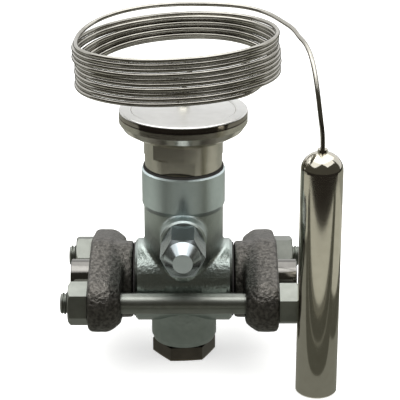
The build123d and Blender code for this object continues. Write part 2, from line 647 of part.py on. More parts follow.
with BuildPart() as setting_spindle:
    sections = []
    for distance in (FACE_INNER, FACE_OUTER):
        with BuildSketch(Plane((0, -distance, SPINDLE_Z), x_dir=(1, 0, 0), z_dir=(0, -1, 0))) as section:
            with BuildLine():
                Polyline(*pinion_outline(distance / PITCH_DISTANCE), close=True)
            make_face()
        sections.append(section.sketch)
    loft(sections, ruled=True)
    rod(SPINDLE_LINE, FACE_OUTER, PINION_COLLAR_END, PINION_COLLAR_R)
    rod(SPINDLE_LINE, PINION_COLLAR_END, SQUARE_START, JOURNAL_R)
    with BuildSketch(Plane((0, -SQUARE_START, SPINDLE_Z), x_dir=(1, 0, 0), z_dir=(0, -1, 0))) as square:
        Rectangle(SQUARE, SQUARE)
    extrude(square.sketch, amount=SQUARE_SUNK + SQUARE_PROUD)
pieces["setting_spindle"] = setting_spindle

with BuildPart() as setting_gear:
    turned(
        VALVE_LINE,
        (CHAMBER_FLOOR, TUBE_R + THREAD_FIT), (CHAMBER_FLOOR, CHAMBER_R - WHEEL_PLAY),
        (WHEEL_RIM_TOP, CHAMBER_R - WHEEL_PLAY), (WHEEL_RIM_TOP, FACE_OUTER),
        (SPINDLE_Z - ROOT_SLOPE * FACE_OUTER, FACE_OUTER),
        (SPINDLE_Z - ROOT_SLOPE * WHEEL_HUB_R, WHEEL_HUB_R), (WHEEL_HUB_TOP, WHEEL_HUB_R),
        (WHEEL_HUB_TOP, TUBE_R + THREAD_FIT),
    )
    teeth_sections = []
    for distance in (FACE_INNER, FACE_OUTER):
        scale = distance / PITCH_DISTANCE
        pitch_z = SPINDLE_Z - PITCH_SLOPE * distance
        sunk_half = ROOT_HALF + TOOTH_ROOT_SUNK * tan(radians(TOOTH_FLANK))
        with BuildSketch(Plane((0, -distance, pitch_z), x_dir=(1, 0, 0), z_dir=(0, -1, 0))) as section:
            with BuildLine():
                Polyline(
                    (-sunk_half * scale, -(TOOTH_DEDENDUM + TOOTH_ROOT_SUNK) * scale),
                    (-TIP_HALF * scale, TOOTH_ADDENDUM * scale),
                    (TIP_HALF * scale, TOOTH_ADDENDUM * scale),
                    (sunk_half * scale, -(TOOTH_DEDENDUM + TOOTH_ROOT_SUNK) * scale),
                    close=True,
                )
            make_face()
        teeth_sections.append(section.sketch)
    tooth = loft(teeth_sections, ruled=True, mode=Mode.PRIVATE)
    with PolarLocations(0, WHEEL_TEETH):
        add(tooth)
pieces["setting_gear"] = setting_gear

with BuildPart() as spring_seat:
    turned(
        VALVE_LINE,
        (TUBE_FOOT, TUBE_BORE_R), (TUBE_FOOT, TUBE_R), (SEAT_PLATE_FOOT, TUBE_R),
        (SEAT_PLATE_FOOT, SEAT_PLATE_R), (SEAT_PLATE_TOP, SEAT_PLATE_R), (SEAT_PLATE_TOP, TUBE_BORE_R),
    )
    with BuildSketch(Plane.XY.offset(SEAT_PLATE_FOOT)) as keys:
        Circle(KEYWAY_R - KEY_PLAY)
        Rectangle(2 * KEYWAY_R, KEYWAY_W - 2 * KEY_PLAY, mode=Mode.INTERSECT)
        Circle(TUBE_R, mode=Mode.SUBTRACT)
    extrude(keys.sketch, amount=SEAT_PLATE_T)
pieces["spring_seat"] = spring_seat

with BuildPart() as setting_spring:
    coil_spring(SEAT_PLATE_TOP, PAD_HUB_FOOT, SETTING_R, SETTING_WIRE, SETTING_TURNS)
pieces["setting_spring"] = setting_spring

# ---- Spindle bush, packing and gland nut ----
with BuildPart() as spindle_bush:
    ring(SPINDLE_LINE, BUSH_START, BUSH_END, JOURNAL_R + THREAD_FIT, GLAND_BORE_R - PRESS_FIT)
pieces["spindle_bush"] = spindle_bush

with BuildPart() as spindle_packing:
    ring(SPINDLE_LINE, BUSH_END, PACKING_END, JOURNAL_R + THREAD_FIT, GLAND_BORE_R - PRESS_FIT)
pieces["spindle_packing"] = spindle_packing

with BuildPart() as gland_nut:
    hexagon(across(SPINDLE_LINE, PACKING_END), GLAND_HEX, GLAND_END - PACKING_END)
    rod(SPINDLE_LINE, PACKING_END, GLAND_THREAD_END, GLAND_BORE_R - THREAD_FIT)
    drilled(SPINDLE_LINE, PACKING_END, GLAND_END, JOURNAL_R + THREAD_FIT)
pieces["gland_nut"] = gland_nut

# ---- Seal cap and its gasket ----
with BuildPart() as cap_gasket:
    ring(SPINDLE_LINE, CAP_BOSS_FACE, CAP_BACK, NOSE_R + 2 * THREAD_FIT, CAP_GASKET_R)
pieces["cap_gasket"] = cap_gasket

with BuildPart() as seal_cap:
    hexagon(across(SPINDLE_LINE, CAP_BACK), CAP_HEX, CAP_END - CAP_BACK)
    turned(
        SPINDLE_LINE,
        (CAP_BACK, 0), (CAP_BACK, CAP_BACK_R), (CAP_BACK + CAP_BACK_EDGE, CAP_HEX),
        (CAP_HEX_END - CAP_CORNER, CAP_HEX / sqrt(3)), (CAP_HEX_END, CAP_CONE_R), (CAP_END, CAP_TIP_R),
        (CAP_END, 0),
        mode=Mode.INTERSECT,
    )
    drilled(SPINDLE_LINE, CAP_BACK, CAP_THREAD_END, NOSE_R + THREAD_FIT)
    drilled(SPINDLE_LINE, CAP_THREAD_END, CAP_WELL_END, CAP_WELL_R)
pieces["seal_cap"] = seal_cap

# ---- Thermostatic element ----
with BuildPart() as element_gasket:
    ring(VALVE_LINE, COLLAR_TOP, ELEMENT_SEAT, SPIGOT_R, ELEMENT_GASKET_R)
pieces["element_gasket"] = element_gasket

with BuildPart() as element_body:
    turned(
        VALVE_LINE,
        (SPIGOT_FOOT, ELEMENT_BORE_R), (SPIGOT_FOOT, SPIGOT_R - THREAD_FIT),
        (ELEMENT_SEAT, SPIGOT_R - THREAD_FIT), (ELEMENT_SEAT, NECK_R), (NECK_STEP, NECK_R),
        (NECK_STEP, NECK_RING_R), (NECK_TOP, NECK_RING_R), *FLARE,
        (DIAPHRAGM_Z, DISC_R), (DIAPHRAGM_Z, CAVITY_R),
        (DIAPHRAGM_Z - CAVITY_DEPTH, CAVITY_R - CAVITY_SLOPE),
        (ELEMENT_FLOOR, PAD_R + PAD_PLAY), (ELEMENT_FLOOR, ELEMENT_BORE_R),
    )
    for turn in (0, 180):
        facing = Plane.XY.rotated((0, 0, NECK_FLATS_TURN + turn))
        with BuildSketch(facing.offset(ELEMENT_SEAT)) as flat_cut:
            with Locations((0, NECK_FLAT_DEPTH - NECK_R * 3 / 2)):
                Rectangle(2 * NECK_R, NECK_R)
        extrude(flat_cut.sketch, amount=NECK_H, mode=Mode.SUBTRACT)
    ring_facing = Plane.XY.rotated((0, 0, RING_FLAT_TURN))
    with BuildSketch(ring_facing.offset(NECK_STEP)) as ring_cut:
        with Locations((0, RING_FLAT_DEPTH - NECK_RING_R * 3 / 2)):
            Rectangle(2 * NECK_RING_R, NECK_RING_R)
    extrude(ring_cut.sketch, amount=NECK_RING_H, mode=Mode.SUBTRACT)
pieces["element_body"] = element_body

with BuildPart() as diaphragm:
    rod(VALVE_LINE, DIAPHRAGM_Z, COVER_FOOT, DISC_R)
pieces["diaphragm"] = diaphragm

with BuildPart() as top_cover:
    turned(
        VALVE_LINE,
        (COVER_FOOT, COVER_DOME_R + COVER_DOME_EDGE), (COVER_FOOT, DISC_R), (COVER_TOP - COVER_EDGE, DISC_R),
        (COVER_TOP, DISC_R - COVER_EDGE), (COVER_TOP, COVER_STEP_R + COVER_STEP),
        (COVER_TOP - COVER_STEP, COVER_STEP_R), (COVER_TOP - COVER_STEP, 0),
        (COVER_FOOT + COVER_DOME_H, 0), (COVER_FOOT + COVER_DOME_H, COVER_DOME_R),
    )
    drilled(VALVE_LINE, COVER_FOOT, COVER_TOP, CAPILLARY_R + THREAD_FIT)
pieces["top_cover"] = top_cover

with BuildPart() as thrust_pad:
    turned(
        VALVE_LINE,
        (DIAPHRAGM_Z, 0), (DIAPHRAGM_Z, PAD_R), (DIAPHRAGM_Z - PAD_T, PAD_R),
        (DIAPHRAGM_Z - PAD_T, PAD_HUB_R), (PAD_HUB_FOOT, PAD_HUB_R), (PAD_HUB_FOOT, PAD_PILOT_R),
        (PAD_PILOT_FOOT, PAD_PILOT_R), (PAD_PILOT_FOOT, 0),
    )
    drilled(VALVE_LINE, PAD_PILOT_FOOT, ROD_TOP, ROD_R + THREAD_FIT)
pieces["thrust_pad"] = thrust_pad

# ---- Capillary tube, its ferrule, its coil and the bulb ----
with BuildPart() as capillary_ferrule:
    ferrule_foot = COVER_TOP - COVER_STEP
    turned(
        VALVE_LINE,
        (ferrule_foot, CAPILLARY_R + THREAD_FIT), (ferrule_foot, FERRULE_R),
        (ferrule_foot + FERRULE_H / 3, FERRULE_R), (ferrule_foot + FERRULE_H, FERRULE_R / 2),
        (ferrule_foot + FERRULE_H, CAPILLARY_R + THREAD_FIT),
    )
pieces["capillary_ferrule"] = capillary_ferrule

with BuildPart() as capillary_lead:
    capillary(LEAD_ROUTE)
pieces["capillary_lead"] = capillary_lead

with BuildPart() as capillary_coil:
    coil_plane = Plane((*COIL_CENTRE, COIL_TOP)).rotated((-COIL_TILT_Y, -COIL_TILT_X, 0))
    with BuildSketch(coil_plane) as coil_section:
        Circle(COIL_OUTER_R)
        Circle(COIL_INNER_R, mode=Mode.SUBTRACT)
    extrude(coil_section.sketch, amount=-COIL_H)
pieces["capillary_coil"] = capillary_coil

with BuildPart() as capillary_tail:
    capillary(TAIL_ROUTE)
pieces["capillary_tail"] = capillary_tail

with BuildPart() as bulb:
    bulb_plane = Plane((BULB_X, BULB_Y, 0), x_dir=(1, 0, 0), z_dir=(0, -1, 0))
    with BuildSketch(bulb_plane) as bulb_profile:
        with BuildLine():
            dome = EllipticalCenterArc(
                (0, BULB_SHOULDER), BULB_R, BULB_DOME_H, 0, arc_size=BULB_DOME_ARC
            )
            Polyline(
                dome @ 0, (BULB_R, BULB_FOOT_EDGE), (BULB_R - BULB_FOOT_EDGE, 0), (0, 0),
                (0, BULB_TOP), ((dome @ 1).X, BULB_TOP), dome @ 1,
            )
        make_face()
    revolve(bulb_profile.sketch, axis=Axis((BULB_X, BULB_Y, 0), (0, 0, 1)))
pieces["bulb"] = bulb

# ---- Export: one file for each piece ----
os.makedirs("parts", exist_ok=True)
for name, piece in pieces.items():
    piece.part.label = name
    export_step(piece.part, f"parts/{name}.step")
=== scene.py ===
import json
from math import cos, pi, radians, sin, sqrt, tan

import bmesh
import bpy
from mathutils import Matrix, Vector


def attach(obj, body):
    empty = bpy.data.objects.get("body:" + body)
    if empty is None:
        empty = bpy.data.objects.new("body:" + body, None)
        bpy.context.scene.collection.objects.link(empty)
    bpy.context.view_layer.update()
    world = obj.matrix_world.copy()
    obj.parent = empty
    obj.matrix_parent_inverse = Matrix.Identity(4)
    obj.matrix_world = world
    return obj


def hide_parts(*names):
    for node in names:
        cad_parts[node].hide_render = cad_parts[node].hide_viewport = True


# Looks for a flanged refrigerant expansion valve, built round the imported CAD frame. Metres throughout:
# the valve axis is +Z from the foot of its plug, the ports lie along X, the setting spindle points to -Y.
# What the CAD already shapes well keeps its own mesh and gets a finish here. The flanges, the top cover,
# the ferrule, the studs and the capillary are drawn anew, finer than the CAD has them.

MM = 0.001

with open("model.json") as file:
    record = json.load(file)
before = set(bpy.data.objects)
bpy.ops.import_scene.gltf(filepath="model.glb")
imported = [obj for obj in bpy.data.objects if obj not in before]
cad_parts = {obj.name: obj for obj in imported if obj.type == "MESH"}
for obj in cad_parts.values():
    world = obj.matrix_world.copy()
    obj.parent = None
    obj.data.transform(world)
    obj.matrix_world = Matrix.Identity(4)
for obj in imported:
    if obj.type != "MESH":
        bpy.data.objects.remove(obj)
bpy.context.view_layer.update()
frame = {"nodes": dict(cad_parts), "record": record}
nodes = frame["nodes"]


# ---- Small helpers ----
def colour(code):
    """An sRGB hex code as linear RGBA."""
    channels = [int(code[i : i + 2], 16) / 255 for i in (1, 3, 5)]
    linear = [c / 12.92 if c <= 0.04045 else ((c + 0.055) / 1.055) ** 2.4 for c in channels]
    return (*linear, 1.0)


def add(tree, kind, inputs=None, **settings):
    """Adds a node; an input is a plain value, or the output socket that feeds it."""
    made = tree.nodes.new(kind)
    for key, value in settings.items():
        setattr(made, key, value)
    for key, value in (inputs or {}).items():
        if isinstance(value, bpy.types.NodeSocket):
            tree.links.new(value, made.inputs[key])
        else:
            made.inputs[key].default_value = value
    return made


def box_of(node):
    """The lowest and the highest corner of a CAD node."""
    shape = nodes[node]
    corners = [shape.matrix_world @ Vector(corner) for corner in shape.bound_box]
    return [Vector([pick(axis) for axis in zip(*corners)]) for pick in (min, max)]


# ---- Camera, as the photograph's: the valve axis stands a little left of the picture's middle ----
IMAGE_SIDE = 400              # pixels
FOCAL_PIXELS = 1600           # focal length over one pixel's width
SENSOR = 36.0                 # millimetres
AIM = Vector((7.339, 0.0, 73.914)) * MM
DISTANCE = 716 * MM
ELEVATION = radians(21.0)


def make_camera():
    lens = bpy.data.cameras.new("camera")
    lens.sensor_width = SENSOR
    lens.lens = FOCAL_PIXELS * SENSOR / IMAGE_SIDE
    camera = bpy.data.objects.new("camera", lens)
    camera.location = AIM + DISTANCE * Vector((0, -cos(ELEVATION), sin(ELEVATION)))
    camera.rotation_euler = (pi / 2 - ELEVATION, 0, 0)
    bpy.context.scene.collection.objects.link(camera)
    bpy.context.scene.camera = camera


make_camera()

# ---- Studio: pale floor, white surround, soft lamps, and cards that only the metal sees ----
SURROUND_LIGHT = 0.45         # strength of the surround on matt surfaces
FLOOR_SIDE = 6.0
FLOOR_LIFT = 0.60             # glow that keeps the floor white to the eye
LAMPS = {
    # name: (place, width, height, watts)
    "lamp_upper_left": ((-0.50, -0.12, 1.00), 1.30, 1.00, 5.5),
    "lamp_upper_right": ((0.42, -0.20, 1.00), 1.00, 0.80, 3.6),
    "lamp_overhead": ((0.0, 0.25, 1.05), 1.80, 1.30, 7.0),
}
LAMP_AIM = Vector((0.0, 0.0, 0.07))
# The metal mirrors the floor in front of it, from 2.6 times its own height away at this camera angle. So
# each card's front edge draws a U on the bulb, and the cards give the bulb, the barrels and the nuts the
# dark and light bands of the photograph.
CARD_LIFT = 0.1 * MM          # from one card to the next above it
ROUND = 72                    # corners of a round card
SQUARE = 4
CARDS = {
    # name: (colour, left, right, front, back, corners) on the floor, the lowest first
    "card_far_floor": ("#2e2b27", -2.8, 2.8, -2.8, 2.8, ROUND),
    "card_behind": ("#a2a39a", -0.500, 0.550, -0.050, 0.500, SQUARE),
    "card_sheet": ("#cbcbc0", -0.250, 0.332, -0.2445, 0.1645, ROUND),
    "card_strip": ("#55554d", -0.190, 0.310, -0.1465, -0.088, SQUARE),
    "card_upper_line": ("#8d8b80", -0.190, 0.310, -0.1380, -0.1335, SQUARE),
    "card_lower_line": ("#82827a", -0.190, 0.310, -0.1045, -0.1005, SQUARE),
    "card_stand": ("#5a5a52", -0.130, 0.170, -0.100, 0.090, SQUARE),
    "card_foot": ("#8b8c85", -0.105, 0.120, -0.070, 0.060, SQUARE),
}
HOOD_SHADE = "#4f4d46"        # dark hood over the front half, for upward-facing metal
HOOD_R = 1.30
HOOD_WIDE = radians(108)      # to each side of the front
HOOD_TOP = radians(66)
HOOD_ROWS = 12
HOOD_COLUMNS = 24


def seen_directly(tree):
    """1 for what the camera, a mirror or a glass shows, 0 for the light on matt surfaces."""
    rays = add(tree, "ShaderNodeLightPath")
    direct = add(
        tree, "ShaderNodeMath",
        {0: rays.outputs["Is Camera Ray"], 1: rays.outputs["Is Glossy Ray"]}, operation="MAXIMUM",
    )
    seen = add(
        tree, "ShaderNodeMath",
        {0: direct.outputs[0], 1: rays.outputs["Is Transmission Ray"]}, operation="MAXIMUM",
    )
    return seen.outputs[0]


def white_paper():
    """Matt white paper; its lift keeps it white to the eye and leaves the shadow on it."""
    made = bpy.data.materials.new("white_paper_floor")
    made.use_nodes = True
    tree = made.node_tree
    tree.nodes.clear()
    paper = add(tree, "ShaderNodeBsdfDiffuse", {"Color": colour("#f4f4f2")})
    strength = add(tree, "ShaderNodeMath", {0: seen_directly(tree), 1: FLOOR_LIFT}, operation="MULTIPLY")
    lift = add(tree, "ShaderNodeEmission", {"Color": colour("#ffffff"), "Strength": strength.outputs[0]})
    both = add(tree, "ShaderNodeAddShader", {0: paper.outputs["BSDF"], 1: lift.outputs["Emission"]})
    add(tree, "ShaderNodeOutputMaterial", {"Surface": both.outputs["Shader"]})
    made.cycles.emission_sampling = "NONE"
    return made


def card_paper(name, shade):
    """Matt card that glows with its own colour, so only its reflection counts."""
    made = bpy.data.materials.new(name)
    made.use_nodes = True
    made.cycles.emission_sampling = "NONE"
    tree = made.node_tree
    tree.nodes.clear()
    glow = add(tree, "ShaderNodeEmission", {"Color": colour(shade), "Strength": 1.0})
    add(tree, "ShaderNodeOutputMaterial", {"Surface": glow.outputs["Emission"]})
    return made


def stage_mesh(name, points, faces, material):
    """A flat or curved sheet of the studio, which isn't part of the valve."""
    mesh = bpy.data.meshes.new(name)
    mesh.from_pydata(points, [], faces)
    mesh.materials.append(material)
    made = bpy.data.objects.new(name, mesh)
    bpy.context.scene.collection.objects.link(made)
    return made


def only_reflected(card):
    """Hides a card from everything but reflections in metal."""
    card.visible_camera = card.visible_diffuse = card.visible_shadow = False
    card.visible_transmission = False


def make_surround():
    """White to the eye and in reflections, dimmer as a light on matt surfaces."""
    world = bpy.data.worlds.new("studio_surround")
    world.use_nodes = True
    bpy.context.scene.world = world
    tree = world.node_tree
    tree.nodes.clear()
    dim = add(tree, "ShaderNodeBackground", {"Color": colour("#ffffff"), "Strength": SURROUND_LIGHT})
    white = add(tree, "ShaderNodeBackground", {"Color": colour("#ffffff"), "Strength": 1.0})
    both = add(
        tree, "ShaderNodeMixShader",
        {0: seen_directly(tree), 1: dim.outputs["Background"], 2: white.outputs["Background"]},
    )
    add(tree, "ShaderNodeOutputWorld", {"Surface": both.outputs["Shader"]})


def make_lamp(name, place, width, height, watts):
    lamp = bpy.data.lights.new(name, "AREA")
    lamp.shape = "RECTANGLE"
    lamp.size, lamp.size_y, lamp.energy = width, height, watts
    holder = bpy.data.objects.new(name, lamp)
    holder.location = place
    holder.rotation_euler = (LAMP_AIM - Vector(place)).to_track_quat("-Z", "Y").to_euler()
    bpy.context.scene.collection.objects.link(holder)


def make_floor():
    half = FLOOR_SIDE / 2
    corners = [(-half, -half, 0), (half, -half, 0), (half, half, 0), (-half, half, 0)]
    stage_mesh("studio_floor", corners, [range(4)], white_paper())


def make_card(name, layer, shade, left, right, front, back, corners):
    turns = [2 * pi * (i + 0.5) / corners for i in range(corners)]
    reach = cos(pi / corners)         # from the card's centre to the middle of an edge
    wide, deep = (right - left) / 2 / reach, (back - front) / 2 / reach
    points = [
        ((left + right) / 2 + wide * cos(turn), (front + back) / 2 + deep * sin(turn), layer * CARD_LIFT)
        for turn in turns
    ]
    only_reflected(stage_mesh(name, points, [range(corners)], card_paper(name, shade)))


def make_hood():
    points = []
    for row in range(HOOD_ROWS + 1):
        rise = HOOD_TOP * row / HOOD_ROWS
        for column in range(HOOD_COLUMNS + 1):
            turn = -pi / 2 + HOOD_WIDE * (2 * column / HOOD_COLUMNS - 1)
            points.append((
                HOOD_R * cos(rise) * cos(turn), HOOD_R * cos(rise) * sin(turn), HOOD_R * sin(rise),
            ))
    across = HOOD_COLUMNS + 1
    faces = [
        (i, i + 1, i + across + 1, i + across)
        for row in range(HOOD_ROWS) for i in range(row * across, row * across + HOOD_COLUMNS)
    ]
    only_reflected(stage_mesh("card_hood", points, faces, card_paper("card_hood", HOOD_SHADE)))


bpy.context.scene.view_settings.view_transform = "Standard"
make_surround()
make_floor()
for lamp_name, lamp in LAMPS.items():
    make_lamp(lamp_name, *lamp)
for layer, (card_name, card) in enumerate(CARDS.items(), 1):
    make_card(card_name, layer, *card)
make_hood()

# ---- Finishes: each starts from the real material, with its patterns measured in millimetres ----
BAND_UNIT = pi / 10           # a wave texture's scale for one band to each metre
FORGING_MASKS = {
    # part: (height where its mask is 0, height where its mask is 1)
    "above_boss": (16.5 * MM, 19.5 * MM),
    "port_barrel": (56.0 * MM, 52.0 * MM),
    "collar": (71.5 * MM, 73.5 * MM),
}
# Painted light and shade: the one zinc plating is toned darker low on the port barrel and lighter up on
# the collar.
FORGING_LIGHT_AND_SHADE_TONES = {
    "upright_barrel": ("#b5c0bb", "#cbd4cf"),
    "port_barrel": ("#97a19d", "#b0b8b3"),
    "collar": ("#cddcdd", "#dde9ea"),
}
FORGING_ROUGHNESS = 0.44
COLLAR_ROUGHNESS = 0.36
DIE_GLOSS = 0.16              # the die left the port barrel's skin denser, and so glossier, by this much
TURNED_SKIN = 0.18            # share of the forging's pebbles that is left where it was turned
COVER_TOP = box_of("top_cover")[1].z
COVER_RIM = COVER_TOP - 0.7 * MM      # up to this height the cover is its rolled edge,
COVER_FACE = COVER_TOP - 0.4 * MM     # and from this height its brushed face
# Painted light and shade: the brushed face is toned near white, the rolled edge darker.
COVER_LIT_AND_SHADED_TONES = {
    "rim": ("#99938a", "#a8a299"),
    "face": ("#e0e0dd", "#efefed"),
}
# Patterns in millimetres: their width, and the depth of those that are a relief. In life brush strokes
# and lathe rings are finer than a pixel, so here they are only as coarse as it takes to break the gloss.
TONE_DRIFT = 4.0
PLATING_CLOUD = 3.0
PEBBLE = 1.4
PEBBLE_DEPTH = 0.16
PIT = 0.7
PIT_DEPTH = 0.03
SAND = 1.5
SAND_DEPTH = 0.7
STROKE = 0.7
STROKE_DEPTH = 0.001
FLECK = 0.8


def grain(size):
    """Noise scale whose grains are about that many millimetres wide."""
    return 1 / (size * MM)


def bands(pitch):
    """Wave scale whose bands are that many millimetres apart."""
    return BAND_UNIT / (pitch * MM)


def start_finish(name, metallic, roughness):
    """Starts a material; returns it, its tree, its shader and the piece's own coordinates."""
    made = bpy.data.materials.new(name)
    made.use_nodes = True
    tree = made.node_tree
    shader = tree.nodes["Principled BSDF"]
    shader.inputs["Metallic"].default_value = metallic
    shader.inputs["Roughness"].default_value = roughness
    place = add(tree, "ShaderNodeTexCoord").outputs["Object"]
    return made, tree, shader, place


def zinc_plated_forging():
    """Forged steel, zinc plated and passivated: grey with a blue-green cast. The port barrel keeps the
    pebbled skin of the forging die; the collar and boss were turned afterwards and look smoother."""
    made, tree, shader, place = start_finish("zinc_plated_forging", 1.0, FORGING_ROUGHNESS)
    height = add(tree, "ShaderNodeSeparateXYZ", {0: place}).outputs["Z"]
    mask = {
        part: add(
            tree, "ShaderNodeMapRange", {"Value": height, "From Min": none, "From Max": whole},
        ).outputs["Result"]
        for part, (none, whole) in FORGING_MASKS.items()
    }
    forged = add(
        tree, "ShaderNodeMath", {0: mask["port_barrel"], 1: mask["above_boss"]}, operation="MULTIPLY",
    ).outputs[0]

    cloud = add(
        tree, "ShaderNodeTexNoise", {"Vector": place, "Scale": grain(PLATING_CLOUD), "Detail": 4.0},
    ).outputs["Fac"]
    tone = {
        part: add(
            tree, "ShaderNodeMix", {0: cloud, 6: colour(dark), 7: colour(light)}, data_type="RGBA",
        ).outputs[2]
        for part, (dark, light) in FORGING_LIGHT_AND_SHADE_TONES.items()
    }
    # painted shade low on the port barrel, painted light up on the collar
    barrels = add(
        tree, "ShaderNodeMix",
        {0: mask["port_barrel"], 6: tone["upright_barrel"], 7: tone["port_barrel"]}, data_type="RGBA",
    ).outputs[2]
    plated = add(
        tree, "ShaderNodeMix", {0: mask["collar"], 6: barrels, 7: tone["collar"]}, data_type="RGBA",
    ).outputs[2]
    tree.links.new(plated, shader.inputs["Base Color"])

    satin = add(
        tree, "ShaderNodeMapRange",
        {"Value": mask["collar"], "To Min": FORGING_ROUGHNESS, "To Max": COLLAR_ROUGHNESS},
    ).outputs["Result"]
    gloss = add(
        tree, "ShaderNodeMath", {0: forged, 1: -DIE_GLOSS, 2: satin}, operation="MULTIPLY_ADD",
    ).outputs[0]
    tree.links.new(gloss, shader.inputs["Roughness"])

    pebbles = add(
        tree, "ShaderNodeTexNoise", {"Vector": place, "Scale": grain(PEBBLE), "Detail": 1.2},
    ).outputs["Fac"]
    kept = add(
        tree, "ShaderNodeMath", {0: forged, 1: 1 - TURNED_SKIN, 2: TURNED_SKIN}, operation="MULTIPLY_ADD",
    ).outputs[0]
    skin = add(tree, "ShaderNodeMath", {0: pebbles, 1: kept}, operation="MULTIPLY").outputs[0]
    pits = add(
        tree, "ShaderNodeTexNoise", {"Vector": place, "Scale": grain(PIT), "Detail": 2.0},
    ).outputs["Fac"]
    fine = add(tree, "ShaderNodeBump", {"Height": pits, "Distance": PIT_DEPTH * MM, "Strength": 1.0})
    relief = add(
        tree, "ShaderNodeBump",
        {"Height": skin, "Distance": PEBBLE_DEPTH * MM, "Strength": 1.0, "Normal": fine.outputs["Normal"]},
    )
    tree.links.new(relief.outputs["Normal"], shader.inputs["Normal"])
    return made


def sand_cast_iron():
    """Sand cast iron, tumbled and left dark: coarse grain, its raised points toned lighter as a painted
    highlight.
    """
    made, tree, shader, place = start_finish("sand_cast_iron", 0.95, 0.38)
    sand = add(
        tree, "ShaderNodeTexNoise",
        {"Vector": place, "Scale": grain(SAND), "Detail": 3.0, "Roughness": 0.5},
    ).outputs["Fac"]
    # painted highlight: the higher the grain, the lighter its tone
    tip_highlight = add(
        tree, "ShaderNodeMapRange", {"Value": sand, "From Min": 0.35, "From Max": 0.68},
    ).outputs["Result"]
    tone = add(
        tree, "ShaderNodeMix", {0: tip_highlight, 6: colour("#4a4844"), 7: colour("#726f6a")}, data_type="RGBA",
    )
    tree.links.new(tone.outputs[2], shader.inputs["Base Color"])
    relief = add(tree, "ShaderNodeBump", {"Height": sand, "Distance": SAND_DEPTH * MM, "Strength": 1.0})
    tree.links.new(relief.outputs["Normal"], shader.inputs["Normal"])
    return made


def brushed_sheet():
    """Stainless sheet: its face brushed, its rolled edge left bright as a mirror. Its tones are painted
    light and shade: near white on the face, darker on the rolled edge.
    """
    made, tree, shader, place = start_finish("brushed_stainless_sheet", 1.0, 0.36)
    height = add(tree, "ShaderNodeSeparateXYZ", {0: place}).outputs["Z"]
    brushed = add(
        tree, "ShaderNodeMapRange", {"Value": height, "From Min": COVER_RIM, "From Max": COVER_FACE},
    ).outputs["Result"]
    cloud = add(
        tree, "ShaderNodeTexNoise", {"Vector": place, "Scale": grain(TONE_DRIFT), "Detail": 3.0},
    ).outputs["Fac"]
    tone = {
        part: add(
            tree, "ShaderNodeMix", {0: cloud, 6: colour(dark), 7: colour(light)}, data_type="RGBA",
        ).outputs[2]
        for part, (dark, light) in COVER_LIT_AND_SHADED_TONES.items()
    }
    # painted light on the face, painted shade on the rolled edge
    sheet = add(tree, "ShaderNodeMix", {0: brushed, 6: tone["rim"], 7: tone["face"]}, data_type="RGBA")
    tree.links.new(sheet.outputs[2], shader.inputs["Base Color"])
    gloss = add(tree, "ShaderNodeMapRange", {"Value": brushed, "To Min": 0.12, "To Max": 0.36})
    tree.links.new(gloss.outputs["Result"], shader.inputs["Roughness"])
    strokes = add(
        tree, "ShaderNodeTexWave", {"Vector": place, "Scale": bands(STROKE), "Distortion": 0.4},
        wave_type="BANDS", bands_direction="X",
    ).outputs["Fac"]
    relief = add(
        tree, "ShaderNodeBump", {"Height": strokes, "Distance": STROKE_DEPTH * MM, "Strength": 1.0},
    )
    tree.links.new(relief.outputs["Normal"], shader.inputs["Normal"])
    return made


def start_metal(name, dark, light, roughness):
    """Starts a metal whose tone drifts a little; returns what start_finish returns."""
    made, tree, shader, place = start_finish(name, 1.0, roughness)
    cloud = add(
        tree, "ShaderNodeTexNoise", {"Vector": place, "Scale": grain(TONE_DRIFT), "Detail": 3.0},
    ).outputs["Fac"]
    tone = add(
        tree, "ShaderNodeMix", {0: cloud, 6: colour(dark), 7: colour(light)}, data_type="RGBA",
    )
    tree.links.new(tone.outputs[2], shader.inputs["Base Color"])
    return made, tree, shader, place


def drawn_metal(name, dark, light, roughness):
    """Tube or wire drawn through a die: smooth, with clean reflections along it."""
    return start_metal(name, dark, light, roughness)[0]


def turned_metal(name, dark, light, roughness, ring, depth, axis="Z"):
    """Metal with the rings of a lathe tool about an axis, their pitch and depth in millimetres."""
    made, tree, shader, place = start_metal(name, dark, light, roughness)
    rings = add(
        tree, "ShaderNodeTexWave", {"Vector": place, "Scale": bands(ring), "Distortion": 0.4},
        wave_type="BANDS", bands_direction=axis,
    ).outputs["Fac"]
    relief = add(tree, "ShaderNodeBump", {"Height": rings, "Distance": depth * MM, "Strength": 1.0})
    tree.links.new(relief.outputs["Normal"], shader.inputs["Normal"])
    return made


def pressed_fibre():
    """Compressed fibre gasket sheet: matt, flecked, no metal."""
    made, tree, shader, place = start_finish("pressed_fibre", 0.0, 0.85)
    flecks = add(
        tree, "ShaderNodeTexNoise", {"Vector": place, "Scale": grain(FLECK), "Detail": 4.0},
    ).outputs["Fac"]
    tone = add(
        tree, "ShaderNodeMix", {0: flecks, 6: colour("#1d1c1b"), 7: colour("#4a4845")}, data_type="RGBA",
    )
    tree.links.new(tone.outputs[2], shader.inputs["Base Color"])
    return made


